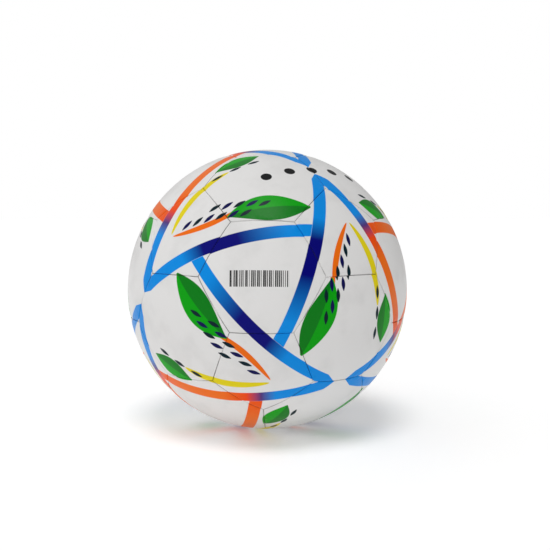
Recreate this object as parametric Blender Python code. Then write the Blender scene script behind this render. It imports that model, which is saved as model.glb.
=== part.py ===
"""A size 5 soccer ball: 32 stitched cover panels, seam thread, bladder and valve.

Metres, +Z up. The ball rests on the middle of one pentagon, with its contact flat on z = 0
and its centre straight above the origin. Radii called r_ are distances from the ball's centre.
"""

import math
from itertools import combinations

import bmesh
import bpy
from mathutils import Matrix, Vector

MM = 0.001
GOLDEN = (1 + math.sqrt(5)) / 2

# The ball
BALL_RADIUS = 110.0 * MM
CONTACT_RADIUS = 4.1 * MM  # the flat that its weight presses into the cover on a hard floor
CENTRE_HEIGHT = math.sqrt(BALL_RADIUS**2 - CONTACT_RADIUS**2)
HEADING = math.radians(213.9)  # the panel pattern's turn about the vertical

# The cover
COVER_THICKNESS = 3.3 * MM
HALF_GAP = 0.15 * MM  # from a seam's middle to each panel's wall
SHOULDER_WIDTH = 3.0 * MM  # the rounded edge that the sewing pulls down
SHOULDER_DROP = 1.1 * MM
FLANGE_DEPTH = 3.2 * MM  # the turned-in seam allowance
FLANGE_THICKNESS = 1.3 * MM
EDGE_STEPS = 3  # straight pieces along each side of a panel
FACE_SHARES = (0.35, 0.7)  # rings on a panel's face, as parts of the panel's size
INSIDE_SHARE = 0.6  # the ring on its underside, and on the bladder below it
VALVE_HOLE_SHARE = 0.3  # one more ring, round the valve's hole
SHOULDER_RING = 0.3  # the ring on the rounded edge, as part of SHOULDER_WIDTH
SHOULDER_RING_DROP = 0.35  # and of SHOULDER_DROP

# The seam thread and the channel that it lies in
THREAD_DEPTH = 2.7 * MM  # its middle, below the ball's surface
THREAD_HALF_WIDTH = 0.4 * MM
THREAD_HALF_HEIGHT = 0.45 * MM
CHANNEL_HALF_WIDTH = 0.75 * MM
CHANNEL_HALF_HEIGHT = 0.9 * MM

# The bladder
BLADDER_WALL = 0.9 * MM
BLADDER_CLEARANCE = 0.7 * MM
BLADDER_SEAT_WIDTH = 2.0 * MM  # how far from a seam it runs flat under the flanges
BLADDER_POCKET_WIDTH = 5.0 * MM  # and where it has swollen out to the panel

# The valve, with heights along its axis from the ball's centre
VALVE_FACES = Vector((0.0, 1.0, -0.2))
VALVE_SEGMENTS = 24
PIECE_GAP = 0.3 * MM
STEM_RADIUS = 3.7 * MM
STEM_TOP = BALL_RADIUS - 0.8 * MM
STEM_CHAMFER = 0.4 * MM
COVER_HOLE_RADIUS = STEM_RADIUS + PIECE_GAP
BACKING_RADIUS = 16.0 * MM
BACKING_THICKNESS = 0.8 * MM
VALVE_FLANGE_RADIUS = 11.0 * MM
VALVE_FLANGE_THICKNESS = 1.0 * MM
PATCH_RADIUS = 20.0 * MM
PATCH_THICKNESS = 0.7 * MM
LOWER_STEM_RADIUS = 4.2 * MM
LOWER_STEM_BOTTOM = 94.0 * MM
LOWER_STEM_TIP_RADIUS = 3.3 * MM
BLADDER_HOLE_RADIUS = LOWER_STEM_RADIUS + PIECE_GAP
CORE_RADIUS = 1.7 * MM
CORE_BULB_RADIUS = 2.6 * MM
CORE_BULB_TOP = 102.0 * MM
CORE_BULB_BOTTOM = 99.0 * MM
CORE_BOTTOM = 96.0 * MM
CORE_TOP = STEM_TOP - 0.2 * MM
NEEDLE_RADIUS = 0.7 * MM
NEEDLE_DEPTH = 11.0 * MM
HOLE_CUTTER_LENGTH = 27.5 * MM

NEIGHBOUR_REACH = 1.1  # corners nearer than this many side lengths are neighbours
NUMBERING_START = math.pi / 5  # half a panel to the left of the front
MERGE_DISTANCE = 0.01 * MM
SHARP_ANGLE = math.radians(35)

# Colours of the laminated sheet, thread, rubbers and cloth
PANEL_WHITE = (0.83, 0.83, 0.82)
THREAD_WHITE = (0.72, 0.72, 0.70)
BLADDER_BLACK = (0.06, 0.06, 0.065)
VALVE_BLACK = (0.03, 0.03, 0.03)
CORE_BLACK = (0.05, 0.05, 0.05)
PATCH_BLACK = (0.09, 0.09, 0.09)
BACKING_CREAM = (0.62, 0.60, 0.55)

# Radii that follow from the above
R_COVER_INSIDE = BALL_RADIUS - COVER_THICKNESS
R_FLANGE_FOOT = R_COVER_INSIDE - FLANGE_DEPTH
R_THREAD = BALL_RADIUS - THREAD_DEPTH
R_BACKING_TOP = R_COVER_INSIDE - PIECE_GAP
R_VALVE_FLANGE_TOP = R_BACKING_TOP - BACKING_THICKNESS - PIECE_GAP
R_PATCH_TOP = R_VALVE_FLANGE_TOP - VALVE_FLANGE_THICKNESS - PIECE_GAP
R_BLADDER_SEAT = R_PATCH_TOP - PATCH_THICKNESS - PIECE_GAP
R_BLADDER_POCKET = R_COVER_INSIDE - BLADDER_CLEARANCE


# ---------------------------------------------------------------- the panel pattern


def icosahedron_corners():
    """The 12 corners, turned so that one is at the top and one at the bottom."""
    corners = []
    for first in (-1, 1):
        for second in (-GOLDEN, GOLDEN):
            corners += [(0, first, second), (first, second, 0), (second, 0, first)]
    seat = Matrix.Rotation(-math.atan(1 / GOLDEN), 3, "X")
    turn = Matrix.Rotation(HEADING, 3, "Z")
    return [(turn @ seat @ Vector(corner)).normalized() for corner in corners]


class Panel:
    """One face of the truncated icosahedron: its middle, its corners and its seam planes."""

    def __init__(self, corners):
        self.middle = sum(corners, Vector()).normalized()
        across = self.middle.orthogonal().normalized()
        along = self.middle.cross(across)
        corners = [corner.normalized() for corner in corners]
        corners.sort(key=lambda corner: math.atan2(corner.dot(along), corner.dot(across)))
        self.corners = corners
        following = corners[1:] + corners[:1]
        self.inward = [a.cross(b).normalized() for a, b in zip(corners, following)]
        self.name = ""

    def inset(self, distance, radius):
        """A ring of points on the sphere of this radius, this far inside every seam plane."""
        ends = []
        for index, corner in enumerate(self.corners):
            before, after = self.inward[index - 1], self.inward[index]
            aside = (before + after) * (distance / (1 + before.dot(after)))
            ends.append(aside + corner * math.sqrt(radius**2 - aside.length_squared))
        ring = []
        for index, inward in enumerate(self.inward):
            start = ends[index] - inward * distance
            end = ends[(index + 1) % len(ends)] - inward * distance
            for step in range(EDGE_STEPS):
                turned_point = start.slerp(end, step / EDGE_STEPS) * start.length
                ring.append(turned_point + inward * distance)
        return ring

    def share(self, part, radius):
        """A ring of the panel's outline, shrunk to this part of its size."""
        outline = self.inset(0.0, radius)
        return [self.middle.slerp(point.normalized(), part) * radius for point in outline]

    def circle(self, angle, radius):
        """A round ring at this angle from the panel's middle."""
        ring = []
        for point in self.inset(0.0, radius):
            part = angle / self.middle.angle(point)
            ring.append(self.middle.slerp(point.normalized(), part) * radius)
        return ring


def panel_pattern():
    """The 12 pentagons and 20 hexagons, named by shape, row and place round the ball."""
    tips = icosahedron_corners()
    side = min((a - b).length for a, b in combinations(tips, 2))

    def touch(a, b):
        return (a - b).length < side * NEIGHBOUR_REACH

    pentagons = []
    for tip in tips:
        near = [other for other in tips if other is not tip and touch(tip, other)]
        pentagons.append(Panel([tip * 2 + other for other in near]))
    hexagons = []
    for trio in combinations(tips, 3):
        if all(touch(a, b) for a, b in combinations(trio, 2)):
            hexagons.append(Panel([a * 2 + b for a in trio for b in trio if a is not b]))
    name_rows("pentagon", pentagons, (1, 5, 5, 1))
    name_rows("hexagon", hexagons, (5, 5, 5, 5))
    return hexagons + pentagons


def name_rows(shape, panels, row_sizes):
    """Names each panel by its row, and from the front round to the right in that row."""
    rows = ("top", "upper", "lower", "bottom")
    left = sorted(panels, key=lambda panel: -panel.middle.z)
    for row, size in zip(rows, row_sizes):
        members, left = left[:size], left[size:]
        members.sort(key=heading_from_front)
        for number, panel in enumerate(members, 1):
            panel.name = f"{shape}_{row}_{number}" if size > 1 else f"{shape}_{row}"


def heading_from_front(panel):
    """Its place round the ball, starting half a panel to the left of the front."""
    heading = math.atan2(panel.middle.x, -panel.middle.y)
    return (heading + NUMBERING_START) % math.tau


# ---------------------------------------------------------------- making meshes


def add_ring(mesh, points):
    return [mesh.verts.new(point) for point in points]


def bridge(mesh, rings):
    """Joins neighbouring rings with faces that look out when the rings run edgewards."""
    for first, second in zip(rings, rings[1:]):
        for index in range(len(first)):
            after = (index + 1) % len(first)
            mesh.faces.new((first[index], second[index], second[after], first[after]))


def close_start(mesh, ring, point):
    tip = mesh.verts.new(point)
    for index, vertex in enumerate(ring):
        mesh.faces.new((tip, vertex, ring[(index + 1) % len(ring)]))


def close_end(mesh, ring, point):
    tip = mesh.verts.new(point)
    for index, vertex in enumerate(ring):
        mesh.faces.new((vertex, tip, ring[(index + 1) % len(ring)]))


def finished_object(name, mesh, material, parent):
    """Makes an object of the bmesh, smooth where it is round, hung on the ball's centre."""
    data = bpy.data.meshes.new(name)
    mesh.to_mesh(data)
    mesh.free()
    data.shade_smooth()
    data.set_sharp_from_angle(angle=SHARP_ANGLE)
    data.materials.append(material)
    made = bpy.data.objects.new(name, data)
    bpy.context.scene.collection.objects.link(made)
    made.parent = parent
    return made


def plain_material(name, colour, roughness):
    material = bpy.data.materials.new(name)
    material.use_nodes = True
    shader = material.node_tree.nodes["Principled BSDF"]
    shader.inputs["Base Color"].default_value = (*colour, 1.0)
    shader.inputs["Roughness"].default_value = roughness
    shader.inputs["Metallic"].default_value = 0.0
    material.diffuse_color = (*colour, 1.0)
    return material


# ---------------------------------------------------------------- the cover


def cover_panel(panel, valve_panel, parent):
    """A laminated panel: domed face, rounded edge, sewn wall with its channel, and flange."""
    r_middle = BALL_RADIUS
    rings = [panel.share(part, BALL_RADIUS) for part in FACE_SHARES]
    if panel.name == "pentagon_bottom":
        r_middle = CENTRE_HEIGHT
        rings.insert(0, panel.circle(math.asin(CONTACT_RADIUS / BALL_RADIUS), BALL_RADIUS))
    rings += [
        panel.inset(SHOULDER_WIDTH, BALL_RADIUS),
        panel.inset(SHOULDER_WIDTH * SHOULDER_RING, BALL_RADIUS - SHOULDER_DROP * SHOULDER_RING_DROP),
        panel.inset(HALF_GAP, BALL_RADIUS - SHOULDER_DROP),
        panel.inset(HALF_GAP, R_THREAD + CHANNEL_HALF_HEIGHT),
        panel.inset(CHANNEL_HALF_WIDTH, R_THREAD),
        panel.inset(HALF_GAP, R_THREAD - CHANNEL_HALF_HEIGHT),
        panel.inset(HALF_GAP, R_FLANGE_FOOT),
        panel.inset(FLANGE_THICKNESS + HALF_GAP, R_FLANGE_FOOT),
        panel.inset(FLANGE_THICKNESS + HALF_GAP, R_COVER_INSIDE),
        panel.share(INSIDE_SHARE, R_COVER_INSIDE),
    ]
    if panel is valve_panel:
        rings.append(panel.share(VALVE_HOLE_SHARE, R_COVER_INSIDE))
    mesh = bmesh.new()
    made = [add_ring(mesh, ring) for ring in rings]
    close_start(mesh, made[0], panel.middle * r_middle)
    bridge(mesh, made)
    close_end(mesh, made[-1], panel.middle * R_COVER_INSIDE)
    material = plain_material(panel.name, PANEL_WHITE, 0.25)
    return finished_object(panel.name, mesh, material, parent)


def seam_thread(panels, parent):
    """The sewing thread along all 90 seams, joined where three of them meet."""
    mesh = bmesh.new()
    for panel in panels:
        rings = [
            panel.inset(0.0, R_THREAD - THREAD_HALF_HEIGHT),
            panel.inset(THREAD_HALF_WIDTH, R_THREAD),
            panel.inset(0.0, R_THREAD + THREAD_HALF_HEIGHT),
        ]
        bridge(mesh, [add_ring(mesh, ring) for ring in rings])
    bmesh.ops.remove_doubles(mesh, verts=mesh.verts, dist=MERGE_DISTANCE)
    material = plain_material("seam_thread", THREAD_WHITE, 0.7)
    return finished_object("seam_thread", mesh, material, parent)


# ---------------------------------------------------------------- the bladder


def bladder(panels, valve_panel, parent):
    """The rubber bladder, pressed out into each panel's hollow between the flanges."""
    mesh = bmesh.new()
    for panel in panels:
        r_pocket = R_BLADDER_SEAT if panel is valve_panel else R_BLADDER_POCKET
        for inset, add_middle, inwards in ((0.0, close_start, False), (BLADDER_WALL, close_end, True)):
            rings = [
                panel.share(INSIDE_SHARE, r_pocket - inset),
                panel.inset(BLADDER_POCKET_WIDTH, r_pocket - inset),
                panel.inset(BLADDER_SEAT_WIDTH, R_BLADDER_SEAT - inset),
                panel.inset(0.0, R_BLADDER_SEAT - inset),
            ]
            made = [add_ring(mesh, ring) for ring in rings]
            add_middle(mesh, made[0], panel.middle * (r_pocket - inset))
            bridge(mesh, made[::-1] if inwards else made)
    bmesh.ops.remove_doubles(mesh, verts=mesh.verts, dist=MERGE_DISTANCE)
    material = plain_material("bladder", BLADDER_BLACK, 0.55)
    return finished_object("bladder", mesh, material, parent)


# ---------------------------------------------------------------- the valve


def turned(name, outline, closed, material, placing, parent):
    """Turns an outline of (radius, height) points about the valve's axis."""
    mesh = bmesh.new()
    points = [mesh.verts.new((radius, 0.0, height)) for radius, height in outline]
    pairs = list(zip(points, points[1:]))
    if closed:
        pairs.append((points[-1], points[0]))
    edges = [mesh.edges.new(pair) for pair in pairs]
    bmesh.ops.spin(
        mesh,
        geom=points + edges,
        cent=(0, 0, 0),
        axis=(0, 0, 1),
        angle=math.tau,
        steps=VALVE_SEGMENTS,
        use_merge=True,
    )
    bmesh.ops.remove_doubles(mesh, verts=mesh.verts, dist=MERGE_DISTANCE)
    bmesh.ops.recalc_face_normals(mesh, faces=mesh.faces)
    made = finished_object(name, mesh, material, parent)
    made.rotation_euler = placing
    return made


def arc(inner, outer, radius, steps=3):
    """Points on the sphere of this radius, from one distance off the valve's axis to another."""
    points = []
    for step in range(steps + 1):
        off_axis = inner + (outer - inner) * step / steps
        points.append((off_axis, math.sqrt(radius**2 - off_axis**2)))
    return points


def curved_washer(hole, rim, r_top, thickness):
    """The outline of a washer that follows the ball's curve."""
    return arc(hole, rim, r_top) + arc(hole, rim, r_top - thickness)[::-1]


def valve_body_outline():
    """The rubber stem with its flange, and the bore with a pocket for the core's bulb."""
    bore = CORE_RADIUS + PIECE_GAP
    pocket = CORE_BULB_RADIUS + PIECE_GAP
    flange_top = arc(STEM_RADIUS, VALVE_FLANGE_RADIUS, R_VALVE_FLANGE_TOP)
    flange_foot = arc(
        LOWER_STEM_RADIUS, VALVE_FLANGE_RADIUS, R_VALVE_FLANGE_TOP - VALVE_FLANGE_THICKNESS
    )
    stem = [
        (bore, STEM_TOP),
        (STEM_RADIUS - STEM_CHAMFER, STEM_TOP),
        (STEM_RADIUS, STEM_TOP - STEM_CHAMFER),
    ]
    lower = [(LOWER_STEM_RADIUS, CORE_BOTTOM), (LOWER_STEM_TIP_RADIUS, LOWER_STEM_BOTTOM)]
    inside = [
        (bore, LOWER_STEM_BOTTOM),
        (bore, CORE_BULB_BOTTOM - PIECE_GAP),
        (pocket, CORE_BULB_BOTTOM),
        (pocket, CORE_BULB_TOP),
        (bore, CORE_BULB_TOP + PIECE_GAP),
    ]
    return stem + flange_top + flange_foot[::-1] + lower + inside


def valve_core_outline():
    """The self-sealing plug: a needle channel that ends blind above its foot."""
    return [
        (0.0, CORE_TOP - NEEDLE_DEPTH),
        (NEEDLE_RADIUS, CORE_TOP - NEEDLE_DEPTH),
        (NEEDLE_RADIUS, CORE_TOP),
        (CORE_RADIUS, CORE_TOP),
        (CORE_RADIUS, CORE_BULB_TOP),
        (CORE_BULB_RADIUS, CORE_BULB_TOP - PIECE_GAP),
        (CORE_BULB_RADIUS, CORE_BULB_BOTTOM + PIECE_GAP),
        (CORE_RADIUS, CORE_BULB_BOTTOM),
        (CORE_RADIUS, CORE_BOTTOM),
        (0.0, CORE_BOTTOM),
    ]


def valve(placing, parent):
    """The valve's own pieces, with the discs that strengthen the cover and the bladder."""
    rubber = plain_material("valve_body", VALVE_BLACK, 0.5)
    butyl = plain_material("valve_core", CORE_BLACK, 0.6)
    backing = plain_material("valve_backing_disc", BACKING_CREAM, 0.85)
    patch = plain_material("bladder_valve_patch", PATCH_BLACK, 0.6)
    disc = curved_washer(COVER_HOLE_RADIUS, BACKING_RADIUS, R_BACKING_TOP, BACKING_THICKNESS)
    ring = curved_washer(BLADDER_HOLE_RADIUS, PATCH_RADIUS, R_PATCH_TOP, PATCH_THICKNESS)
    turned("valve_body", valve_body_outline(), True, rubber, placing, parent)
    turned("valve_core", valve_core_outline(), False, butyl, placing, parent)
    turned("valve_backing_disc", disc, True, backing, placing, parent)
    turned("bladder_valve_patch", ring, True, patch, placing, parent)


def cut_round_hole(target, radius, placing, parent):
    """Cuts a hole along the valve's axis through this piece."""
    mesh = bmesh.new()
    bmesh.ops.create_cone(
        mesh,
        cap_ends=True,
        segments=VALVE_SEGMENTS,
        radius1=radius,
        radius2=radius,
        depth=HOLE_CUTTER_LENGTH,
        matrix=Matrix.Translation((0, 0, BALL_RADIUS)),
    )
    cutter = finished_object(f"cutter_{target.name}", mesh, target.data.materials[0], parent)
    cutter.rotation_euler = placing
    cutter.hide_render = True
    cutter.display_type = "WIRE"
    hole = target.modifiers.new("valve_hole", "BOOLEAN")
    hole.operation = "DIFFERENCE"
    hole.solver = "EXACT"
    hole.object = cutter


# ---------------------------------------------------------------- the whole ball


def clear_scene():
    for thing in list(bpy.data.objects):
        bpy.data.objects.remove(thing)


def main():
    clear_scene()
    centre = bpy.data.objects.new("ball_centre", None)
    centre.location = (0.0, 0.0, CENTRE_HEIGHT)
    bpy.context.scene.collection.objects.link(centre)

    panels = panel_pattern()
    hexagons = [panel for panel in panels if len(panel.corners) == 6]
    valve_panel = min(hexagons, key=lambda panel: panel.middle.angle(VALVE_FACES))
    valve_panel.name = "hexagon_valve"
    placing = Vector((0, 0, 1)).rotation_difference(valve_panel.middle).to_euler()

    covers = {}
    for panel in panels:
        covers[panel.name] = cover_panel(panel, valve_panel, centre)
    seam_thread(panels, centre)
    air_bladder = bladder(panels, valve_panel, centre)
    valve(placing, centre)
    cut_round_hole(covers["hexagon_valve"], COVER_HOLE_RADIUS, placing, centre)
    cut_round_hole(air_bladder, BLADDER_HOLE_RADIUS, placing, centre)


main()
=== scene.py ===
"""The looks of the sewn soccer ball: finer pieces in the places of the CAD nodes, and their materials.

Metres, +Z up, in the CAD's own frame. The print is plain bands, which are parts of circles, with
generic leaves, strokes, flecks and dots between them.
"""

import math
import random
from itertools import combinations

import bmesh
import bpy
from mathutils import Matrix, Vector


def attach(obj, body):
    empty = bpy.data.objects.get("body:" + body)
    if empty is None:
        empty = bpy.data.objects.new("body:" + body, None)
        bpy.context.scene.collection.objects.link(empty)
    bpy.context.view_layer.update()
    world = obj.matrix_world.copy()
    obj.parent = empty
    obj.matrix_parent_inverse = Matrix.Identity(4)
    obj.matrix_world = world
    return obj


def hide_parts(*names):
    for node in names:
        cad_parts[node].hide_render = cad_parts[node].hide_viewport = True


MM = 0.001
GOLDEN = (1 + math.sqrt(5)) / 2

# The ball, as in the CAD
BALL_RADIUS = 110.0 * MM
CONTACT_RADIUS = 4.1 * MM
CENTRE_HEIGHT = math.sqrt(BALL_RADIUS**2 - CONTACT_RADIUS**2)
CENTRE = Vector((0, 0, CENTRE_HEIGHT))
HEADING = math.radians(213.9)
HALF_GAP = 0.06 * MM  # the sewing pulls the real edges together, closer than the CAD walls
R_COVER_INSIDE = 106.7 * MM
R_FLANGE_FOOT = 103.5 * MM
R_THREAD = 107.3 * MM
CHANNEL_HALF_WIDTH = 0.75 * MM
CHANNEL_HALF_HEIGHT = 0.9 * MM
FLANGE_INNER = 1.45 * MM
R_BLADDER_SEAT = 103.0 * MM
R_BLADDER_POCKET = 106.0 * MM
BLADDER_WALL = 0.9 * MM
BLADDER_SEAT_WIDTH = 2.0 * MM
BLADDER_POCKET_WIDTH = 5.0 * MM
BLADDER_HOLE_RADIUS = 4.5 * MM
COVER_HOLE_RADIUS = 4.0 * MM
R_BACKING_TOP = 106.4 * MM
R_VALVE_FLANGE_TOP = 105.3 * MM
R_PATCH_TOP = 104.0 * MM
STEM_TOP = 109.2 * MM

# The finer panels
EDGE_STEPS = 14
SHARE_START = 8.0 * MM  # the rings inside this distance from the seam shrink towards the middle
FACE_SHARES = (0.16, 0.3, 0.44, 0.58, 0.72, 0.86, 1.0)
INSIDE_SHARES = (1.0, 0.6, 0.3)
EDGE_DISTANCES = (
    6.0 * MM, 4.5 * MM, 3.2 * MM, 2.2 * MM, 1.5 * MM, 1.0 * MM, 0.7 * MM, 0.45 * MM, 0.27 * MM
)
EDGE_ROUND = 0.75 * MM
PILLOW_WIDTH = 7.0 * MM
PILLOW_DROP = 0.4 * MM
HOLE_EDGE = ((4.0 * MM, 0.6 * MM), (4.15 * MM, 0.15 * MM), (4.6 * MM, 0.0))  # radius, depth
SHARP_ANGLE = math.radians(40)

# The finer thread, bladder and valve
THREAD_STEPS = 54
THREAD_TWISTS = 9
STRAND_OFFSET = 0.2 * MM
STRAND_RADIUS = 0.21 * MM
STRAND_SIDES = 5
BLADDER_SHARES = (0.3, 0.6, 0.85, 1.0)
BLADDER_DISTANCES = (5.0 * MM, 4.3 * MM, 3.6 * MM, 2.9 * MM, 2.3 * MM, 1.2 * MM, 0.0)
VALVE_SEGMENTS = 64
ARC_STEPS = 8
VALVE_FLANGE_RADIUS = 11.0 * MM
BACKING_RADIUS, BACKING_THICKNESS = 16.0 * MM, 0.8 * MM
PATCH_RADIUS, PATCH_THICKNESS = 20.0 * MM, 0.7 * MM
VALVE_FACES = Vector((0.0, 1.0, -0.2))

# How far the print sits off its place on a panel
PRINT_SEED = 7
SMALLEST_SLIP = math.radians(0.135)
LARGEST_SLIP = math.radians(0.45)

# The print, in degrees on the ball. Every band is part of one plain circle, turned and mirrored.
BAND_POLE = Vector((-8, 3, -2)).normalized()
BAND_FROM_MIDDLE = -12.0
BAND_HALF = 2.4
BAND_START = 2.5  # where a band begins beside the point that it grows from
DOTS_EACH_WAY = 2
DOT_SPACING = 10.0
DOT_RADIUS = 2.1

# The shapes in each lens: start and end along its middle line, the rest off that line
YELLOW_STROKE = {"start": 28.0, "end": 60.0, "from_q": -3.0, "to_q": -12.0, "half": 1.6}
ORANGE_STROKE = {"start": 28.0, "end": 52.0, "from_q": -1.5, "to_q": 9.0, "half": 1.3}
LONG_LEAF = {"start": 48.0, "end": 79.0, "middle": 9.0, "slope": 0.35, "half": 6.0}
SHORT_LEAF = {"start": 56.0, "end": 76.0, "middle": -17.0, "slope": 0.0, "half": 4.5}
FLECK_SPACING = 2.4
FLECK_PERIOD = 8.0
FLECK_LENGTH = 5.6
FLECK_HALF = 0.8

# The block of bars, in millimetres round its middle on the front hexagon
BARS_HEADING = math.radians(-3.0)
BARS_LATITUDE = math.radians(10.1)
BAR_STEP = 1.35
NARROWEST_BAR, BAR_VARIETY = 0.24, 0.62  # shares of the step
BARS_HALF_WIDTH = 20.3
BARS_HALF_HEIGHT = 5.6
BARS_SEED = (11.0, 4.0)

# The studio
BRIGHT_SKY = (-0.5, 0.1, 0.86)  # where the sky is brightest
SKY_LOW = 0.03
SKY_HIGH = 0.59
OVERHEAD_ENERGY = 1.12
FRONT_ENERGY = 0.48
RIM_ENERGY = 0.12
FLOOR_GLOW = 0.2
FLOOR_REACH = 6.0
FLOOR_DROP = 0.2 * MM  # keeps the floor clear of the flat that the ball rests on

# The camera
SENSOR_WIDTH = 36.0
LENS = 59.6
SHIFT = (0.014, 0.026)
CAMERA_ELEVATION = math.radians(6.0)
CAMERA_DISTANCE = 6.6 * BALL_RADIUS


# ---------------------------------------------------------------- the panel pattern


def pattern_turn():
    """Turns the print's own axes to the way the ball lies."""
    seat = Matrix.Rotation(-math.atan(1 / GOLDEN), 3, "X")
    return Matrix.Rotation(HEADING, 3, "Z") @ seat


def icosahedron_corners():
    corners = []
    for first in (-1, 1):
        for second in (-GOLDEN, GOLDEN):
            corners += [(0, first, second), (first, second, 0), (second, 0, first)]
    return [(pattern_turn() @ Vector(corner)).normalized() for corner in corners]


class Panel:
    """One face of the truncated icosahedron: its middle, its corners and its seam planes."""

    def __init__(self, corners):
        self.middle = sum(corners, Vector()).normalized()
        across = self.middle.orthogonal().normalized()
        along = self.middle.cross(across)
        corners = [corner.normalized() for corner in corners]
        corners.sort(key=lambda corner: math.atan2(corner.dot(along), corner.dot(across)))
        self.corners = corners
        following = corners[1:] + corners[:1]
        self.inward = [a.cross(b).normalized() for a, b in zip(corners, following)]
        self.name = ""

    def inset(self, distance, radius):
        """A ring of points on the sphere of this radius, this far inside every seam plane."""
        ends = []
        for index, corner in enumerate(self.corners):
            before, after = self.inward[index - 1], self.inward[index]
            aside = (before + after) * (distance / (1 + before.dot(after)))
            ends.append(aside + corner * math.sqrt(radius**2 - aside.length_squared))
        ring = []
        for index, inward in enumerate(self.inward):
            start = ends[index] - inward * distance
            end = ends[(index + 1) % len(ends)] - inward * distance
            for step in range(EDGE_STEPS):
                turned_point = start.slerp(end, step / EDGE_STEPS) * start.length
                ring.append(turned_point + inward * distance)
        return ring

    def share(self, part, radius):
        """A ring of the panel's outline, shrunk to this part of its size."""
        outline = self.inset(SHARE_START, BALL_RADIUS)
        return [self.middle.slerp(point.normalized(), part) * radius for point in outline]

    def circle(self, angle, radius):
        """A round ring at this angle from the panel's middle."""
        ring = []
        for point in self.inset(SHARE_START, BALL_RADIUS):
            part = angle / self.middle.angle(point)
            ring.append(self.middle.slerp(point.normalized(), part) * radius)
        return ring


def panel_pattern():
    """The 12 pentagons and 20 hexagons, named by shape, row and place round the ball."""
    tips = icosahedron_corners()
    side = min((a - b).length for a, b in combinations(tips, 2))

    def touch(a, b):
        return (a - b).length < side * 1.1

    pentagons = []
    for tip in tips:
        near = [other for other in tips if other is not tip and touch(tip, other)]
        pentagons.append(Panel([tip * 2 + other for other in near]))
    hexagons = []
    for trio in combinations(tips, 3):
        if all(touch(a, b) for a, b in combinations(trio, 2)):
            hexagons.append(Panel([a * 2 + b for a in trio for b in trio if a is not b]))
    name_rows("pentagon", pentagons, (1, 5, 5, 1))
    name_rows("hexagon", hexagons, (5, 5, 5, 5))
    min(hexagons, key=lambda panel: panel.middle.angle(VALVE_FACES)).name = "hexagon_valve"
    return hexagons + pentagons


def name_rows(shape, panels, row_sizes):
    """Names each panel by its row, and in that row from the front round towards +X."""
    rows = ("top", "upper", "lower", "bottom")
    left = sorted(panels, key=lambda panel: -panel.middle.z)
    for row, size in zip(rows, row_sizes):
        members, left = left[:size], left[size:]
        members.sort(key=heading_from_front)
        for number, panel in enumerate(members, 1):
            panel.name = f"{shape}_{row}_{number}" if size > 1 else f"{shape}_{row}"


def heading_from_front(panel):
    heading = math.atan2(panel.middle.x, -panel.middle.y)
    return (heading + math.pi / 5) % math.tau


# ---------------------------------------------------------------- making meshes


def add_ring(mesh, points):
    return [mesh.verts.new(point) for point in points]


def bridge(mesh, rings, material_index=0):
    """Joins neighbouring rings with faces that look out when the rings run edgewards."""
    for first, second in zip(rings, rings[1:]):
        for index in range(len(first)):
            after = (index + 1) % len(first)
            face = mesh.faces.new((first[index], second[index], second[after], first[after]))
            face.material_index = material_index


def close_start(mesh, ring, point, material_index=0):
    tip = mesh.verts.new(point)
    for index, vertex in enumerate(ring):
        face = mesh.faces.new((tip, vertex, ring[(index + 1) % len(ring)]))
        face.material_index = material_index


def close_end(mesh, ring, point, material_index=0):
    tip = mesh.verts.new(point)
    for index, vertex in enumerate(ring):
        face = mesh.faces.new((vertex, tip, ring[(index + 1) % len(ring)]))
        face.material_index = material_index


def finished_piece(name, mesh, materials, node):
    """Makes the piece in the place of its CAD node, smooth where it is round."""
    data = bpy.data.meshes.new(name)
    mesh.to_mesh(data)
    mesh.free()
    data.shade_smooth()
    data.set_sharp_from_angle(angle=SHARP_ANGLE)
    for material in materials:
        data.materials.append(material)
    made = bpy.data.objects.new(name, data)
    bpy.context.scene.collection.objects.link(made)
    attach(made, "root")
    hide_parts(node)
    return made


# ---------------------------------------------------------------- the cover


def face_radius(distance):
    """How high the panel's face lies at this distance from its seam."""
    pillow = PILLOW_DROP * max(0.0, 1 - distance / PILLOW_WIDTH) ** 2
    from_round = max(0.0, EDGE_ROUND - distance)
    rounding = EDGE_ROUND - math.sqrt(EDGE_ROUND**2 - from_round**2)
    return BALL_RADIUS - pillow - rounding


def flattened(points):
    """Presses what would reach through the floor up to it."""
    return [Vector((p.x, p.y, max(p.z, -CENTRE_HEIGHT))) for p in points]


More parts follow.
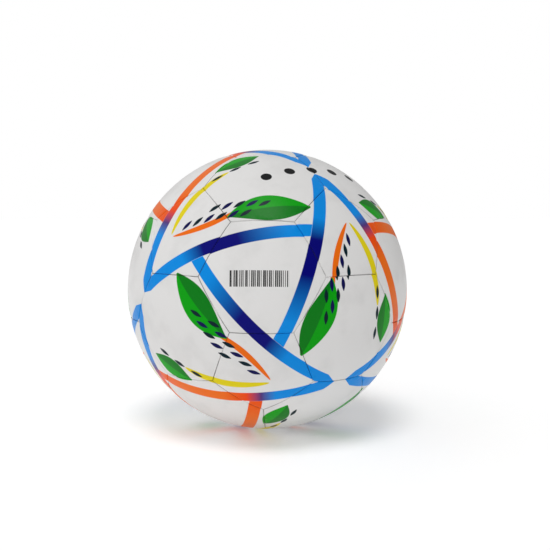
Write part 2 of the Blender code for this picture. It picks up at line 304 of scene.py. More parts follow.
def cover_panel(panel, materials, slips):
    """A laminated panel: domed face, rounded edge, sewn wall with its channel, and flange."""
    face = [panel.share(part, BALL_RADIUS) for part in FACE_SHARES]
    if panel.name == "pentagon_bottom":
        face.insert(0, panel.circle(math.asin(CONTACT_RADIUS / BALL_RADIUS), BALL_RADIUS))
    face += [panel.inset(distance, face_radius(distance)) for distance in EDGE_DISTANCES]
    face.append(panel.inset(HALF_GAP, face_radius(HALF_GAP)))
    inside = [
        panel.inset(HALF_GAP, R_THREAD + CHANNEL_HALF_HEIGHT),
        panel.inset(CHANNEL_HALF_WIDTH, R_THREAD),
        panel.inset(HALF_GAP, R_THREAD - CHANNEL_HALF_HEIGHT),
        panel.inset(HALF_GAP, R_FLANGE_FOOT),
        panel.inset(FLANGE_INNER, R_FLANGE_FOOT),
        panel.inset(FLANGE_INNER, R_COVER_INSIDE),
    ]
    inside += [panel.share(part, R_COVER_INSIDE) for part in INSIDE_SHARES]
    mesh = bmesh.new()
    outer = [add_ring(mesh, flattened(ring)) for ring in face]
    inner = [add_ring(mesh, ring) for ring in inside]
    bridge(mesh, outer + inner[:1])
    bridge(mesh, inner, 1)
    if panel.name == "hexagon_valve":
        hole = [add_ring(mesh, panel.circle(COVER_HOLE_RADIUS / BALL_RADIUS, R_COVER_INSIDE))]
        for radius, depth in HOLE_EDGE:
            ring = panel.circle(radius / BALL_RADIUS, BALL_RADIUS - depth)
            hole.append(add_ring(mesh, ring))
        bridge(mesh, hole + outer[:1])
        bridge(mesh, [inner[-1], hole[0]], 1)
    else:
        close_start(mesh, outer[0], flattened([panel.middle * BALL_RADIUS])[0])
        close_end(mesh, inner[-1], panel.middle * R_COVER_INSIDE, 1)
    bmesh.ops.translate(mesh, verts=mesh.verts, vec=CENTRE)
    made = finished_piece(f"cover_{panel.name}", mesh, materials, panel.name)
    lay_print(made, panel, slips)


def lay_print(piece, panel, slips):
    """Gives each point its place in the print's own axes, and its distance from the seam."""
    axis = Vector([slips.gauss(0, 1) for _ in range(3)])
    slip = Matrix.Rotation(slips.uniform(SMALLEST_SLIP, LARGEST_SLIP), 3, axis)
    to_print = pattern_turn().transposed() @ slip
    places, distances = [], []
    for vertex in piece.data.vertices:
        from_centre = vertex.co - CENTRE
        places.extend((to_print @ from_centre).normalized())
        distances.append(min(from_centre.dot(inward) for inward in panel.inward) / MM)
    attribute = piece.data.attributes.new("print_place", "FLOAT_VECTOR", "POINT")
    attribute.data.foreach_set("vector", places)
    attribute = piece.data.attributes.new("seam_distance", "FLOAT", "POINT")
    attribute.data.foreach_set("value", distances)


# ---------------------------------------------------------------- thread and bladder


def tube(mesh, path, sides, radius):
    """A closed round strand along the path."""
    rings = []
    for index, point in enumerate(path):
        ahead = path[min(index + 1, len(path) - 1)] - path[max(index - 1, 0)]
        across = ahead.cross(point).normalized()
        lift = across.cross(ahead).normalized()
        ring = []
        for side in range(sides):
            turn = math.tau * side / sides
            ring.append(point + (across * math.cos(turn) + lift * math.sin(turn)) * radius)
        rings.append(add_ring(mesh, ring))
    bridge(mesh, rings)
    close_start(mesh, rings[0], path[0])
    close_end(mesh, rings[-1], path[-1])


def seam_thread(panels, material):
    """Two strands twisted round each other along every seam, one turn for each stitch."""
    mesh = bmesh.new()
    done = set()
    for panel in panels:
        for index, start in enumerate(panel.corners):
            end = panel.corners[(index + 1) % len(panel.corners)]
            key = tuple(round(part, 4) for part in start + end)
            if key in done:
                continue
            done.add(key)
            aside = panel.inward[index]
            for strand in (0.0, math.pi):
                path = []
                for step in range(THREAD_STEPS + 1):
                    middle = start.slerp(end, step / THREAD_STEPS)
                    turn = math.tau * THREAD_TWISTS * step / THREAD_STEPS + strand
                    offset = aside * math.cos(turn) + middle * math.sin(turn)
                    path.append(middle * R_THREAD + offset * STRAND_OFFSET)
                tube(mesh, path, STRAND_SIDES, STRAND_RADIUS)
    bmesh.ops.recalc_face_normals(mesh, faces=mesh.faces)
    bmesh.ops.translate(mesh, verts=mesh.verts, vec=CENTRE)
    finished_piece("sewing_thread", mesh, [material], "seam_thread")


def bladder_radius(distance, pocket):
    """The bladder lies flat under the flanges and swells out into the panel's hollow."""
    rise = (distance - BLADDER_SEAT_WIDTH) / (BLADDER_POCKET_WIDTH - BLADDER_SEAT_WIDTH)
    rise = min(1.0, max(0.0, rise))
    return R_BLADDER_SEAT + (pocket - R_BLADDER_SEAT) * rise * rise * (3 - 2 * rise)


def bladder(panels, material):
    mesh = bmesh.new()
    for panel in panels:
        has_valve = panel.name == "hexagon_valve"
        pocket = R_BLADDER_SEAT if has_valve else R_BLADDER_POCKET
        walls = []
        for inset in (0.0, BLADDER_WALL):
            rings = [panel.share(part, pocket - inset) for part in BLADDER_SHARES]
            if has_valve:
                rings.insert(0, panel.circle(BLADDER_HOLE_RADIUS / pocket, pocket - inset))
            for distance in BLADDER_DISTANCES:
                rings.append(panel.inset(distance, bladder_radius(distance, pocket) - inset))
            walls.append([add_ring(mesh, ring[::2]) for ring in rings])
        outer, inner = walls
        bridge(mesh, outer)
        bridge(mesh, inner[::-1])
        if has_valve:
            bridge(mesh, [inner[0], outer[0]])
        else:
            close_start(mesh, outer[0], panel.middle * pocket)
            close_end(mesh, inner[0], panel.middle * (pocket - BLADDER_WALL))
    bmesh.ops.remove_doubles(mesh, verts=mesh.verts, dist=0.01 * MM)
    bmesh.ops.translate(mesh, verts=mesh.verts, vec=CENTRE)
    finished_piece("air_bladder", mesh, [material], "bladder")


# ---------------------------------------------------------------- the valve


def turned(name, outline, closed, material, panel, node):
    """Turns an outline of (radius, height) points about the valve's axis.

    An open outline starts and ends on the axis.
    """
    mesh = bmesh.new()
    rings = []
    for radius, height in outline if closed else outline[1:-1]:
        ring = []
        for step in range(VALVE_SEGMENTS):
            turn = math.tau * step / VALVE_SEGMENTS
            ring.append((radius * math.cos(turn), radius * math.sin(turn), height))
        rings.append(add_ring(mesh, ring))
    if closed:
        bridge(mesh, rings + rings[:1])
    else:
        bridge(mesh, rings)
        close_start(mesh, rings[0], (0.0, 0.0, outline[0][1]))
        close_end(mesh, rings[-1], (0.0, 0.0, outline[-1][1]))
    bmesh.ops.recalc_face_normals(mesh, faces=mesh.faces)
    placing = Vector((0, 0, 1)).rotation_difference(panel.middle).to_matrix()
    bmesh.ops.rotate(mesh, verts=mesh.verts, cent=(0, 0, 0), matrix=placing)
    bmesh.ops.translate(mesh, verts=mesh.verts, vec=CENTRE)
    finished_piece(name, mesh, [material], node)


def arc(inner, outer, radius):
    """Points on the sphere of this radius, from one distance off the valve's axis to another."""
    points = []
    for step in range(ARC_STEPS + 1):
        off_axis = inner + (outer - inner) * step / ARC_STEPS
        points.append((off_axis, math.sqrt(radius**2 - off_axis**2)))
    return points


def curved_washer(hole, rim, r_top, thickness):
    """The outline of a washer that follows the ball's curve, with its edges taken off."""
    edge = thickness / 4
    top = arc(hole + edge, rim - edge, r_top)
    foot = arc(hole + edge, rim - edge, r_top - thickness)
    rim_height = math.sqrt(r_top**2 - rim**2)
    hole_height = math.sqrt(r_top**2 - hole**2)
    outer = [(rim, rim_height - edge), (rim, rim_height - thickness + edge)]
    inner = [(hole, hole_height - thickness + edge), (hole, hole_height - edge)]
    return top + outer + foot[::-1] + inner


def stem_outline():
    """The rubber stem, open at the top, with the plug's pocket in its bore and its flange."""
    bore, pocket, stem, lower = 2.0 * MM, 2.9 * MM, 3.7 * MM, 4.2 * MM
    flange_top, flange_thickness = R_VALVE_FLANGE_TOP, 1.0 * MM
    outline = [(bore + 0.2 * MM, STEM_TOP), (stem - 0.5 * MM, STEM_TOP)]
    outline += [(stem - 0.15 * MM, STEM_TOP - 0.15 * MM), (stem, STEM_TOP - 0.5 * MM)]
    outline += [(stem + 0.15 * MM, flange_top + 0.5 * MM), (stem + 0.5 * MM, flange_top + 0.05 * MM)]
    outline += arc(stem + 1.0 * MM, VALVE_FLANGE_RADIUS, flange_top)
    outline += arc(lower, VALVE_FLANGE_RADIUS, flange_top - flange_thickness)[::-1]
    outline += [(lower, 96.0 * MM), (3.9 * MM, 94.8 * MM), (3.3 * MM, 94.0 * MM), (bore, 94.0 * MM)]
    outline += [(bore, 98.7 * MM), (pocket, 99.0 * MM), (pocket, 102.0 * MM), (bore, 102.3 * MM)]
    return outline + [(bore, STEM_TOP - 0.2 * MM)]


def plug_outline():
    """The soft plug: a needle's channel from the top, and a bulb that sits in the pocket."""
    needle, plug, shoulder, bulb = 0.7 * MM, 1.7 * MM, 2.3 * MM, 2.6 * MM
    top, foot = STEM_TOP - 0.2 * MM, 96.0 * MM
    outline = [(0.0, top - 11.0 * MM), (needle, top - 10.6 * MM), (needle, top - 0.5 * MM)]
    outline += [(needle + 0.25 * MM, top - 0.1 * MM), (needle + 0.45 * MM, top)]
    outline += [(plug - 0.2 * MM, top), (plug, top - 0.2 * MM), (plug, 102.0 * MM)]
    outline += [(shoulder, 101.8 * MM), (bulb, 101.2 * MM), (bulb, 99.8 * MM), (shoulder, 99.2 * MM)]
    return outline + [(plug, 99.0 * MM), (plug, foot + 0.3 * MM), (plug - 0.3 * MM, foot), (0.0, foot)]


def valve_pieces(panel, rubber, core_rubber, patch_rubber, cloth):
    """The stem with its flange, the needle plug, and the discs that strengthen cover and bladder."""
    turned("valve_stem", stem_outline(), True, rubber, panel, "valve_body")
    turned("valve_plug", plug_outline(), False, core_rubber, panel, "valve_core")
    backing = curved_washer(COVER_HOLE_RADIUS, BACKING_RADIUS, R_BACKING_TOP, BACKING_THICKNESS)
    turned("backing_disc", backing, True, cloth, panel, "valve_backing_disc")
    patch = curved_washer(BLADDER_HOLE_RADIUS, PATCH_RADIUS, R_PATCH_TOP, PATCH_THICKNESS)
    turned("valve_patch", patch, True, patch_rubber, panel, "bladder_valve_patch")


# ---------------------------------------------------------------- shader arithmetic


class Number:
    """A number that flows between shader nodes. Arithmetic on it adds Math nodes."""

    def __init__(self, graph, socket):
        self.graph = graph
        self.socket = socket

    def __add__(self, other):
        return self.graph.math("ADD", self, other)

    def __sub__(self, other):
        return self.graph.math("SUBTRACT", self, other)

    def __rsub__(self, other):
        return self.graph.math("SUBTRACT", other, self)

    def __mul__(self, other):
        return self.graph.math("MULTIPLY", self, other)

    def __truediv__(self, other):
        return self.graph.math("DIVIDE", self, other)

    def __gt__(self, other):
        return self.graph.math("GREATER_THAN", self, other)

    def __lt__(self, other):
        return self.graph.math("LESS_THAN", self, other)

    def __abs__(self):
        return self.graph.math("ABSOLUTE", self)


class Graph:
    """Adds nodes to a material."""

    def __init__(self, name, roughness=0.5):
        self.material = bpy.data.materials.new(name)
        self.material.use_nodes = True
        self.nodes = self.material.node_tree.nodes
        self.links = self.material.node_tree.links
        self.shader = self.nodes["Principled BSDF"]
        self.shader.inputs["Roughness"].default_value = roughness

    def put(self, socket, value):
        if isinstance(value, Number):
            self.links.new(value.socket, socket)
        else:
            socket.default_value = value

    def math(self, operation, *values):
        node = self.nodes.new("ShaderNodeMath")
        node.operation = operation
        for socket, value in zip(node.inputs, values):
            self.put(socket, value)
        return Number(self, node.outputs[0])

    def least(self, a, b):
        return self.math("MINIMUM", a, b)

    def most(self, a, b):
        return self.math("MAXIMUM", a, b)

    def clamp(self, value):
        result = self.math("ADD", value, 0.0)
        result.socket.node.use_clamp = True
        return result

    def ramp_up(self, value, low, high):
        """0 below low and 1 above high, smooth between them."""
        node = self.nodes.new("ShaderNodeMapRange")
        node.interpolation_type = "SMOOTHSTEP"
        self.put(node.inputs["Value"], value)
        self.put(node.inputs["From Min"], low)
        self.put(node.inputs["From Max"], high)
        return Number(self, node.outputs["Result"])

    def inside(self, depth, softness=0.12):
        """1 where depth is above 0, with a soft edge this wide."""
        return self.ramp_up(depth, -softness, softness)

    def vector(self, x, y, z):
        node = self.nodes.new("ShaderNodeCombineXYZ")
        for socket, value in zip(node.inputs, (x, y, z)):
            self.put(socket, value)
        return Number(self, node.outputs[0])

    def parts(self, vector):
        node = self.nodes.new("ShaderNodeSeparateXYZ")
        self.put(node.inputs[0], vector)
        return [Number(self, output) for output in node.outputs]

    def choose(self, when, value, otherwise):
        """value where when is 1 and otherwise where it is 0."""
        node = self.nodes.new("ShaderNodeMix")
        node.data_type = "FLOAT"
        self.put(node.inputs[0], when)
        self.put(node.inputs[2], otherwise)
        self.put(node.inputs[3], value)
        return Number(self, node.outputs[0])

    def paint(self, under, over, mask):
        """Lays one colour over another where the mask is."""
        node = self.nodes.new("ShaderNodeMix")
        node.data_type = "RGBA"
        self.put(node.inputs[0], mask)
        self.put(node.inputs[6], under)
        self.put(node.inputs[7], over)
        return Number(self, node.outputs[2])

    def noise(self, place, scale=1.0, detail=2.0, roughness=0.5):
        node = self.nodes.new("ShaderNodeTexNoise")
        self.put(node.inputs["Vector"], place)
        node.inputs["Scale"].default_value = scale
        node.inputs["Detail"].default_value = detail
        node.inputs["Roughness"].default_value = roughness
        return Number(self, node.outputs["Fac"])

    def white_noise(self, place):
        node = self.nodes.new("ShaderNodeTexWhiteNoise")
        node.noise_dimensions = "3D"
        self.put(node.inputs["Vector"], place)
        return Number(self, node.outputs["Value"])

    def cells(self, place, scale):
        node = self.nodes.new("ShaderNodeTexVoronoi")
        self.put(node.inputs["Vector"], place)
        node.inputs["Scale"].default_value = scale
        return Number(self, node.outputs["Distance"])

    def colours(self, value, stops):
        """A colour ramp with its stops given as (position, colour)."""
        node = self.nodes.new("ShaderNodeValToRGB")
        self.put(node.inputs[0], value)
        elements = node.color_ramp.elements
        elements[0].position, elements[0].color = stops[0]
        elements[1].position, elements[1].color = stops[-1]
        for position, colour in stops[1:-1]:
            elements.new(position).color = colour
        return Number(self, node.outputs[0])

    def attribute(self, name, output):
        node = self.nodes.new("ShaderNodeAttribute")
        node.attribute_name = name
        return Number(self, node.outputs[output])

    def bump(self, height, distance, strength=1.0, below=None):
        node = self.nodes.new("ShaderNodeBump")
        node.inputs["Distance"].default_value = distance
        node.inputs["Strength"].default_value = strength
        self.put(node.inputs["Height"], height)
        if below:
            self.put(node.inputs["Normal"], below)
        return Number(self, node.outputs[0])


def ink(red, green, blue):
    """A colour given as sRGB bytes, as the shaders take it."""
    return tuple((part / 255 / 12.92) if part < 11 else ((part / 255 + 0.055) / 1.055) ** 2.4
                 for part in (red, green, blue)) + (1.0,)


WHITE = ink(224, 223, 222)
LIGHT_BLUE = ink(0, 136, 222)
NAVY = ink(0, 0, 112)
PURPLE = ink(80, 50, 120)
RED_ORANGE = ink(234, 68, 0)
ORANGE = ink(234, 106, 12)
YELLOW = ink(222, 204, 20)
GREEN = ink(0, 156, 8)
DARK_GREEN = ink(2, 84, 24)
DROP_DARK = ink(8, 8, 74)
DROP_TEAL = ink(0, 30, 40)
BLACK = ink(18, 18, 20)
CLOUDY_WHITE = ink(217, 216, 215)
# Painted shade: the dark colour laid into the seam grooves, where shade falls.
SEAM_SHADE = ink(70, 68, 66)
YARN_SHADE = ink(196, 192, 182)
YARN = ink(226, 224, 218)


# ---------------------------------------------------------------- the print


def band_layer(graph, axes, side, under):
    """Three bands in each eighth of the ball, each a part of a circle that ends on the next."""
    across, along, lift, drift = [], [], [], []
    for turn in range(3):
        x, y, z = axes[turn:] + axes[:turn]
        height = x * BAND_POLE.x + y * BAND_POLE.y + z * BAND_POLE.z
        across.append(graph.math("ARCSINE", height) * math.degrees(1) - BAND_FROM_MIDDLE)
        along.append(graph.math("ARCCOSINE", z) * math.degrees(1))
        lift.append(graph.math("ARCSINE", y) * math.degrees(1))
        drift.append(graph.math("ARCSINE", x) * math.degrees(1))
    mask = chosen_along = None
    for turn in range(3):
        following = (turn + 2) % 3
        band = graph.inside(BAND_HALF - abs(across[turn]))
        band = band * graph.inside(lift[turn] - BAND_START)
        band = band * graph.inside(lift[turn] - BAND_START - drift[turn])
        band = band * graph.inside(-BAND_HALF - across[following])
        if mask is None:
            mask, chosen_along = band, along[turn]
        else:
            chosen_along = graph.choose(band > 0.001, along[turn], chosen_along)
            mask = graph.most(mask, band)
    place = chosen_along / 90
    blue = graph.colours(place, (
        (0.0, LIGHT_BLUE), (0.3, LIGHT_BLUE), (0.4, NAVY), (0.55, NAVY),
        (0.75, LIGHT_BLUE), (1.0, LIGHT_BLUE),
    ))
    orange = graph.colours(place, (
        (0.0, LIGHT_BLUE), (0.28, LIGHT_BLUE), (0.34, PURPLE), (0.4, RED_ORANGE),
        (0.5, ORANGE), (0.7, ORANGE), (0.9, RED_ORANGE), (1.0, RED_ORANGE),
    ))
    return graph.paint(under, graph.paint(orange, blue, side), mask)


def fleck_layer(graph, q, theta, under):
    """Rows of plain pointed flecks, every second column half a row further on.

    They fill a slanted strip from the near end of the lens, and a short row beside the yellow stroke.
    """
    column = graph.math("ROUND", q / FLECK_SPACING)
    odd = abs(graph.math("MODULO", column, 2.0))
    row = graph.math("FLOOR", (theta - odd * (FLECK_PERIOD / 2)) / FLECK_PERIOD)
    middle = column * FLECK_SPACING
    start = (row + odd * 0.5) * FLECK_PERIOD
    strip = (abs(middle - (start - 30.0) * 0.4) < 4.0) * (start > 30.0) * (start < 62.0)
    corner = (abs(middle + 12.0) < 2.0) * (start > 50.0) * (start < 70.0)
    t = graph.clamp((theta - start) / FLECK_LENGTH)
    width = graph.math("SINE", t * math.pi) * FLECK_HALF
    mask = graph.inside(width - abs(q - middle), 0.1) * graph.most(strip, corner) * (width > 0.1)
    return graph.paint(under, graph.paint(DROP_DARK, DROP_TEAL, odd), mask)


def leaf_layer(graph, q, theta, under, start, end, middle, slope, half):
    """A plain pointed leaf in two greens, one for each side of its middle line."""
    t = graph.clamp((theta - start) / (end - start))
    width = graph.math("SINE", t * math.pi) * half
    aside = q - (theta - start) * slope - middle
    mask = graph.inside(width - abs(aside), 0.15) * (width > 0.1)
    shade = graph.paint(GREEN, DARK_GREEN, graph.inside(aside, 0.1) * 0.6)
    return graph.paint(under, shade, mask)


def stroke_mask(graph, q, theta, start, end, from_q, to_q, half):
    """A plain bent stroke from one place to another, pointed at both ends."""
    t = graph.clamp((theta - start) / (end - start))
    back = 1.0 - t
    middle = to_q - back * back * (to_q - from_q)
    width = graph.math("SQRT", t * back * 4.0) * half
    return graph.inside(width - abs(q - middle), 0.15) * (width > 0.1)


def lens_place(graph, axes, side):
    """Degrees off the middle line of the lens between two bands, and degrees along that line.

    Close to a point where bands meet, two lenses overlap. There the far end of the one goes first,
    except along the middle line of the other.
    """
    x, y, z = axes

    def turned_axes(swap, swap_again):
        small = graph.choose(swap_again, z, graph.choose(swap, y, x))
        toward = graph.choose(swap_again, x, graph.choose(swap, z, y))
        upward = graph.choose(swap_again, y, graph.choose(swap, x, z))
        aside = graph.math("ARCSINE", small) * math.degrees(1)
        return aside, graph.math("ARCTAN2", toward, upward) * math.degrees(1)

    near_q, near_theta = turned_axes(y < graph.least(x, z), z < graph.least(x, y))
    far_q, far_theta = turned_axes(z > graph.most(x, y), x > graph.most(y, z))
    far = near_q > near_theta * 0.35 + 4.0
    q = graph.choose(far, far_q, near_q) * (side * 2.0 - 1.0)
    return q, graph.choose(far, far_theta, near_theta)


def lens_layer(graph, axes, side, under):
    """Two bent strokes, two leaves and rows of flecks in each lens between the bands."""
    q, theta = lens_place(graph, axes, side)
    colour = graph.paint(under, YELLOW, stroke_mask(graph, q, theta, **YELLOW_STROKE))
    colour = graph.paint(colour, ORANGE, stroke_mask(graph, q, theta, **ORANGE_STROKE))
    colour = leaf_layer(graph, q, theta, colour, **LONG_LEAF)
    colour = leaf_layer(graph, q, theta, colour, **SHORT_LEAF)
    return fleck_layer(graph, q, theta, colour)


def dot_layer(graph, place, under):
    """A row of plain round dots by one point of the print."""
    x, y, z = graph.parts(place)
    right = graph.math("ARCSINE", x) * math.degrees(1)
    up = graph.math("ARCSINE", y) * math.degrees(1)
    number = graph.math("ROUND", right / DOT_SPACING)
    from_middle = right - number * DOT_SPACING
    distance = graph.math("SQRT", from_middle * from_middle + up * up)
    dots = graph.inside(DOT_RADIUS - distance) * (abs(number) < DOTS_EACH_WAY + 0.5)
    return graph.paint(under, BLACK, dots * (z > 0.5))


def bar_layer(graph, place, under):
    """A block of plain bars on the front hexagon. Their widths are chance and say nothing."""
    level = math.cos(BARS_LATITUDE)
    middle = Vector((
        math.sin(BARS_HEADING) * level, -math.cos(BARS_HEADING) * level, math.sin(BARS_LATITUDE),
    ))
    right = Vector((math.cos(BARS_HEADING), math.sin(BARS_HEADING), 0.0))
    up = middle.cross(right) * -1
    sizes = []
    for axis in (right, up, middle):
        node = graph.nodes.new("ShaderNodeVectorMath")
        node.operation = "DOT_PRODUCT"
        graph.put(node.inputs[0], place)
        node.inputs[1].default_value = pattern_turn().transposed() @ axis
        sizes.append(Number(graph, node.outputs["Value"]) * (BALL_RADIUS / MM))
    u, v, towards = sizes
    step = u / BAR_STEP
    number = graph.math("FLOOR", step)
    chance = graph.white_noise(graph.vector(number, *BARS_SEED))
    bars = graph.inside(chance * BAR_VARIETY + NARROWEST_BAR - (step - number), 0.04)
    bars = bars * graph.inside(BARS_HALF_WIDTH - abs(u), 0.05)
    bars = bars * graph.inside(BARS_HALF_HEIGHT - abs(v), 0.05)
    return graph.paint(under, BLACK, bars * (towards > 0.0))


def cover_material():
    """Glossy printed PVC: the print, a fine grain, and a little painted shade, in patches, down in the
    seams.
    """
    graph = Graph("printed_pvc")
    place = graph.attribute("print_place", "Vector")
    node = graph.nodes.new("ShaderNodeVectorMath")
    node.operation = "NORMALIZE"
    graph.put(node.inputs[0], place)
    place = Number(graph, node.outputs["Vector"])
    x, y, z = graph.parts(place)
    axes = [abs(x), abs(y), abs(z)]
    side = (x * y * z) > 0.0

    millimetres = graph.nodes.new("ShaderNodeVectorMath")
    millimetres.operation = "SCALE"
    graph.put(millimetres.inputs[0], place)
    millimetres.inputs["Scale"].default_value = BALL_RADIUS / MM
    surface = Number(graph, millimetres.outputs["Vector"])
    cloudy = graph.noise(surface, 0.05, 3.0)
    ground = graph.paint(WHITE, CLOUDY_WHITE, graph.ramp_up(cloudy, 0.45, 0.75))

    colour = band_layer(graph, axes, side, ground)
    colour = lens_layer(graph, axes, side, colour)
    colour = dot_layer(graph, place, colour)
    colour = bar_layer(graph, place, colour)
    from_seam = graph.attribute("seam_distance", "Fac")
    # Painted shade: darkens the colour in patches within half a millimetre of each seam, where the
    # groove lies in shade.
    patches = graph.ramp_up(graph.noise(surface, 0.06, 1.0), 0.35, 0.65)
    seam_shade = graph.ramp_up(from_seam, 0.5, 0.05) * patches * 0.6
    colour = graph.paint(colour, SEAM_SHADE, seam_shade)
    graph.put(graph.shader.inputs["Base Color"], colour)

    grain = graph.cells(surface, 1.3)
    ripple = graph.noise(surface, 0.35, 2.0)
    pucker = graph.noise(surface, 0.22, 1.0) * graph.ramp_up(from_seam, 6.0, 0.3)
    normal = graph.bump(pucker, 0.9 * MM, 0.6)
    normal = graph.bump(ripple, 0.12 * MM, 0.5, normal)
    normal = graph.bump(grain, 0.03 * MM, 0.5, normal)
    graph.put(graph.shader.inputs["Normal"], normal)
    graph.put(graph.shader.inputs["Roughness"], graph.noise(surface, 0.9, 3.0) * 0.16 + 0.26)
    graph.shader.inputs["Specular IOR Level"].default_value = 0.1
    return graph.material


def object_place(graph, scale):
    """The point on the object, times this."""
    coordinates = graph.nodes.new("ShaderNodeTexCoord")
    scaled = graph.nodes.new("ShaderNodeVectorMath")
    scaled.operation = "SCALE"
    graph.links.new(coordinates.outputs["Object"], scaled.inputs[0])
    scaled.inputs["Scale"].default_value = scale
    return Number(graph, scaled.outputs["Vector"])


def cloth_material(name, pale, dark, yarn):
    """A plain weave with this many metres to a yarn."""
    graph = Graph(name, 0.9)
    place = object_place(graph, 1 / yarn)
    x, y, z = graph.parts(place)
    weave = graph.math("SINE", (x + y) * math.pi) * graph.math("SINE", (z - y) * math.pi)
    fuzz = graph.noise(place, 0.7, 3.0)
    colour = graph.paint(dark, pale, graph.ramp_up(weave + (fuzz - 0.5) * 0.8, -0.7, 0.7))
    graph.put(graph.shader.inputs["Base Color"], colour)
    graph.put(graph.shader.inputs["Normal"], graph.bump(weave, 0.1 * MM, 0.7))
    graph.shader.inputs["Sheen Weight"].default_value = 0.2
    return graph.material


def rubber_material(name, colour, worn, roughness):
    """Moulded rubber with a fine skin and a pale bloom of talc here and there."""
    graph = Graph(name)
    place = object_place(graph, 1 / MM)
    bloom = graph.noise(place, 0.12, 4.0, 0.6)
    skin = graph.noise(place, 3.0, 2.0)
    shade = graph.paint(colour, worn, graph.ramp_up(bloom, 0.45, 0.8))
    graph.put(graph.shader.inputs["Base Color"], shade)
    graph.put(graph.shader.inputs["Roughness"], bloom * 0.25 + roughness)
    graph.put(graph.shader.inputs["Normal"], graph.bump(skin, 0.04 * MM, 0.6))
    return graph.material


def thread_material():
    """Waxed polyester yarn, its fibres running round the strand."""
    graph = Graph("waxed_thread", 0.6)
    place = object_place(graph, 1 / MM)
    x, y, z = graph.parts(place)
    fibres = graph.math("SINE", (x * 1.3 + y + z * 1.7) * 9.0)
    tone = graph.noise(place, 0.3, 3.0)
    colour = graph.paint(YARN_SHADE, YARN, graph.ramp_up(fibres + tone, -0.6, 1.4))
    graph.put(graph.shader.inputs["Base Color"], colour)
    graph.put(graph.shader.inputs["Normal"], graph.bump(fibres, 0.04 * MM, 0.6))
    graph.shader.inputs["Sheen Weight"].default_value = 0.15
    return graph.material


# ---------------------------------------------------------------- stage


def sun_lamp(name, direction, energy, spread):
    """A soft light from this direction, as wide as this many degrees of sky."""
    lamp = bpy.data.lights.new(name, "SUN")
    lamp.energy = energy
    lamp.angle = math.radians(spread)
    made = bpy.data.objects.new(name, lamp)
    made.rotation_euler = Vector(direction).to_track_quat("Z", "Y").to_euler()
    bpy.context.scene.collection.objects.link(made)


def studio_sky():
    """White behind the ball, and a softer light that grows towards the top."""
    world = bpy.data.worlds.new("studio")
    world.use_nodes = True
    nodes, links = world.node_tree.nodes, world.node_tree.links
    direction = nodes.new("ShaderNodeTexCoord")
    towards = nodes.new("ShaderNodeVectorMath")
    grow = nodes.new("ShaderNodeMapRange")
    rays = nodes.new("ShaderNodeLightPath")
    seen = nodes.new("ShaderNodeMix")
    towards.operation = "DOT_PRODUCT"
    links.new(direction.outputs["Generated"], towards.inputs[0])
    towards.inputs[1].default_value = BRIGHT_SKY
    links.new(towards.outputs["Value"], grow.inputs["Value"])
    grow.inputs["From Min"].default_value = -1.0
    grow.inputs["To Min"].default_value = SKY_LOW
    grow.inputs["To Max"].default_value = SKY_HIGH
    links.new(rays.outputs["Is Camera Ray"], seen.inputs[0])
    links.new(grow.outputs[0], seen.inputs[2])
    seen.inputs[3].default_value = 1.0
    background = nodes["Background"]
    background.inputs["Color"].default_value = (1, 1, 1, 1)
    links.new(seen.outputs[0], background.inputs["Strength"])
    bpy.context.scene.world = world


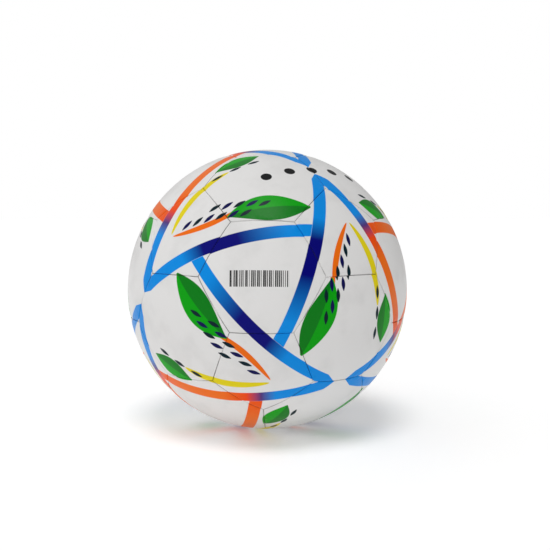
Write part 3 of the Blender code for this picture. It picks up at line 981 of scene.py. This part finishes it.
def floor_and_light():
    plane = bpy.data.meshes.new("floor")
    reach = FLOOR_REACH
    corners = [(-reach, -reach, 0), (reach, -reach, 0), (reach, reach, 0), (-reach, reach, 0)]
    plane.from_pydata(corners, [], [(0, 1, 2, 3)])
    floor = bpy.data.objects.new("floor", plane)
    floor.location.z = -FLOOR_DROP
    bpy.context.scene.collection.objects.link(floor)
    graph = Graph("floor_white", 0.6)
    graph.shader.inputs["Base Color"].default_value = (0.93, 0.93, 0.93, 1)
    graph.shader.inputs["Specular IOR Level"].default_value = 0.0
    graph.shader.inputs["Emission Color"].default_value = (1, 1, 1, 1)
    graph.shader.inputs["Emission Strength"].default_value = FLOOR_GLOW
    floor.data.materials.append(graph.material)
    studio_sky()
    sun_lamp("overhead", (-0.02, -0.4, 1.0), OVERHEAD_ENERGY, 24)
    sun_lamp("front_left", (-0.8, -0.75, 0.5), FRONT_ENERGY, 90)
    sun_lamp("rim", (-0.6, 0.7, 0.75), RIM_ENERGY, 60)
    bpy.context.scene.view_settings.view_transform = "Standard"


def camera():
    data = bpy.data.cameras.new("camera")
    data.sensor_width = SENSOR_WIDTH
    data.lens = LENS
    data.shift_x, data.shift_y = SHIFT
    data.clip_start = 0.01
    made = bpy.data.objects.new("camera", data)
    back = Vector((0, -math.cos(CAMERA_ELEVATION), math.sin(CAMERA_ELEVATION)))
    made.location = CENTRE + back * CAMERA_DISTANCE
    made.rotation_euler = (-back).to_track_quat("-Z", "Y").to_euler()
    bpy.context.scene.collection.objects.link(made)
    bpy.context.scene.camera = made


# ---------------------------------------------------------------- the whole scene


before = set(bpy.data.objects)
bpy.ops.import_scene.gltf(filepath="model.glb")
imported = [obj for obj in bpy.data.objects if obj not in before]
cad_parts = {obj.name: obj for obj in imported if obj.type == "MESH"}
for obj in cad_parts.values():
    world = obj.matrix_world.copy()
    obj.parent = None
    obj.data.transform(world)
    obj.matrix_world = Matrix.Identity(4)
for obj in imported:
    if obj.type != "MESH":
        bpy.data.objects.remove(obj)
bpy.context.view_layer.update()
camera()
floor_and_light()
panels = panel_pattern()
slips = random.Random(PRINT_SEED)
lining = cloth_material("woven_lining", ink(214, 208, 194), ink(168, 160, 142), 0.7 * MM)
cover_finish = [cover_material(), lining]
for panel in panels:
    cover_panel(panel, cover_finish, slips)
seam_thread(panels, thread_material())
bladder(panels, rubber_material("butyl_bladder", ink(34, 34, 36), ink(88, 86, 84), 0.42))
valve_panel = next(panel for panel in panels if panel.name == "hexagon_valve")
valve_pieces(
    valve_panel,
    rubber_material("valve_rubber", ink(20, 20, 21), ink(52, 51, 50), 0.38),
    rubber_material("plug_rubber", ink(30, 30, 32), ink(64, 62, 60), 0.5),
    rubber_material("patch_rubber", ink(46, 46, 48), ink(96, 94, 90), 0.48),
    cloth_material("backing_cloth", ink(196, 190, 176), ink(140, 132, 116), 0.9 * MM),
)
